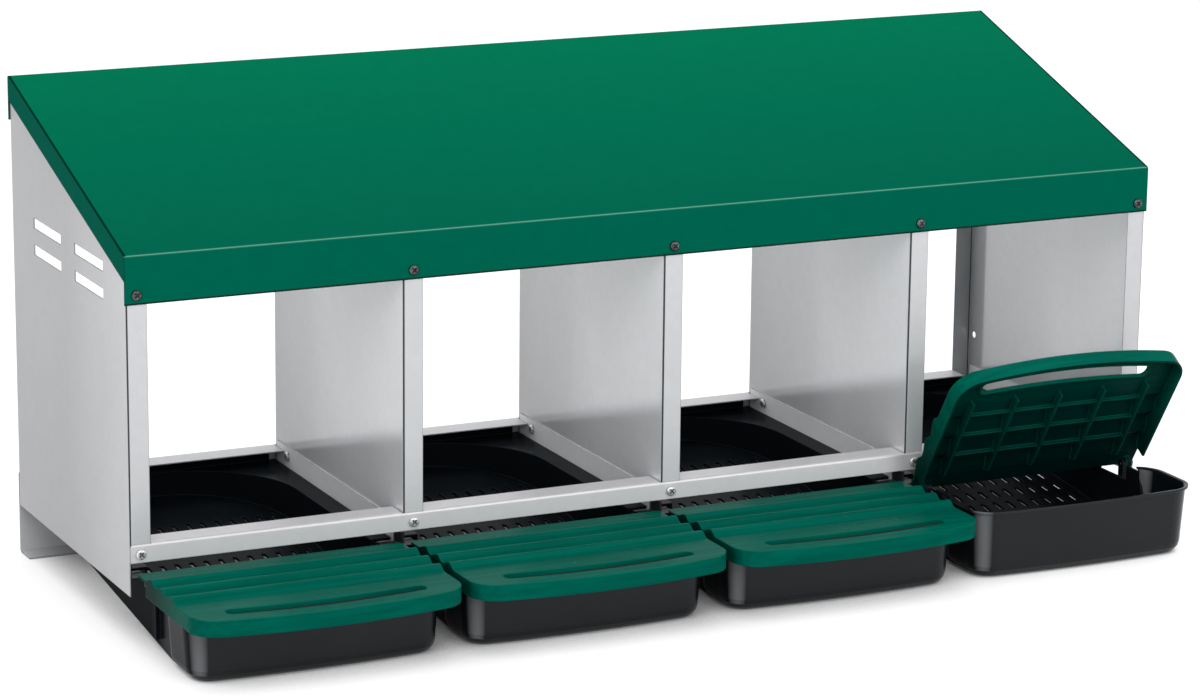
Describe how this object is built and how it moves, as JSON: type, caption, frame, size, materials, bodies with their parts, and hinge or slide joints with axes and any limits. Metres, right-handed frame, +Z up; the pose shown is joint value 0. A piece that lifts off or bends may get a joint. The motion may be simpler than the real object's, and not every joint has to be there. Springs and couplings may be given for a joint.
{
  "type": "roll out nest box",
  "caption": "Row of sheet metal hen nests under a sloping green roof, each with a slotted tray that lets eggs roll forward into an egg box with a hinged lid.",
  "frame": {"origin": "under the middle of the box, on the ground", "axes": "+X along the row of nests, +Y to the open back, +Z up"},
  "size_m": [1.2042, 0.5752, 0.5311],
  "materials": {
    "galvanised_sheet": "satin galvanised sheet",
    "green_paint": "smooth satin paint",
    "green_plastic": "moulded, slightly glossy",
    "black_plastic": "moulded, satin",
    "zinc": "bright zinc plate"
  },
  "bodies": {
    "frame": {"left_side_panel": "galvanised_sheet", "right_side_panel": "galvanised_sheet", "divider_1": "galvanised_sheet", "divider_2": "galvanised_sheet", "divider_3": "galvanised_sheet", "roof_panel": "green_paint", "front_rail": "galvanised_sheet", "rear_rail": "galvanised_sheet", "left_runner_1": "galvanised_sheet", "left_runner_2": "galvanised_sheet", "left_runner_3": "galvanised_sheet", "left_runner_4": "galvanised_sheet", "right_runner_1": "galvanised_sheet", "right_runner_2": "galvanised_sheet", "right_runner_3": "galvanised_sheet", "right_runner_4": "galvanised_sheet", "fascia_screws": "zinc", "roof_back_screws": "zinc", "front_rail_bolts": "zinc", "front_rail_nuts": "zinc", "rear_rail_bolts": "zinc", "rear_rail_nuts": "zinc", "runner_bolts": "zinc", "runner_nuts": "zinc"},
    "tray_1": {"nest_tray_1": "black_plastic", "lid_pins_1": "zinc"},
    "lid_1": {"lid_1": "green_plastic"},
    "tray_2": {"nest_tray_2": "black_plastic", "lid_pins_2": "zinc"},
    "lid_2": {"lid_2": "green_plastic"},
    "tray_3": {"nest_tray_3": "black_plastic", "lid_pins_3": "zinc"},
    "lid_3": {"lid_3": "green_plastic"},
    "tray_4": {"nest_tray_4": "black_plastic", "lid_pins_4": "zinc"},
    "lid_4": {"lid_4": "green_plastic"}
  },
  "joints": [
    {"name": "tray_1_slide", "type": "slide", "parent": "frame", "child": "tray_1", "axis": [0, -1, 0], "range_m": [0, 0.3]},
    {"name": "lid_1_hinge", "type": "hinge", "parent": "tray_1", "child": "lid_1", "pos_m": [-0.45, -0.1036, 0.071], "axis": [-1, 0, 0], "range_deg": [0, 78]},
    {"name": "tray_2_slide", "type": "slide", "parent": "frame", "child": "tray_2", "axis": [0, -1, 0], "range_m": [0, 0.3]},
    {"name": "lid_2_hinge", "type": "hinge", "parent": "tray_2", "child": "lid_2", "pos_m": [-0.15, -0.1036, 0.071], "axis": [-1, 0, 0], "range_deg": [0, 78]},
    {"name": "tray_3_slide", "type": "slide", "parent": "frame", "child": "tray_3", "axis": [0, -1, 0], "range_m": [0, 0.3]},
    {"name": "lid_3_hinge", "type": "hinge", "parent": "tray_3", "child": "lid_3", "pos_m": [0.15, -0.1036, 0.071], "axis": [-1, 0, 0], "range_deg": [0, 78]},
    {"name": "tray_4_slide", "type": "slide", "parent": "frame", "child": "tray_4", "axis": [0, -1, 0], "range_m": [0, 0.3]},
    {"name": "lid_4_hinge", "type": "hinge", "parent": "tray_4", "child": "lid_4", "pos_m": [0.45, -0.1036, 0.071], "axis": [-1, 0, 0], "range_deg": [-58, 20]}
  ]
}
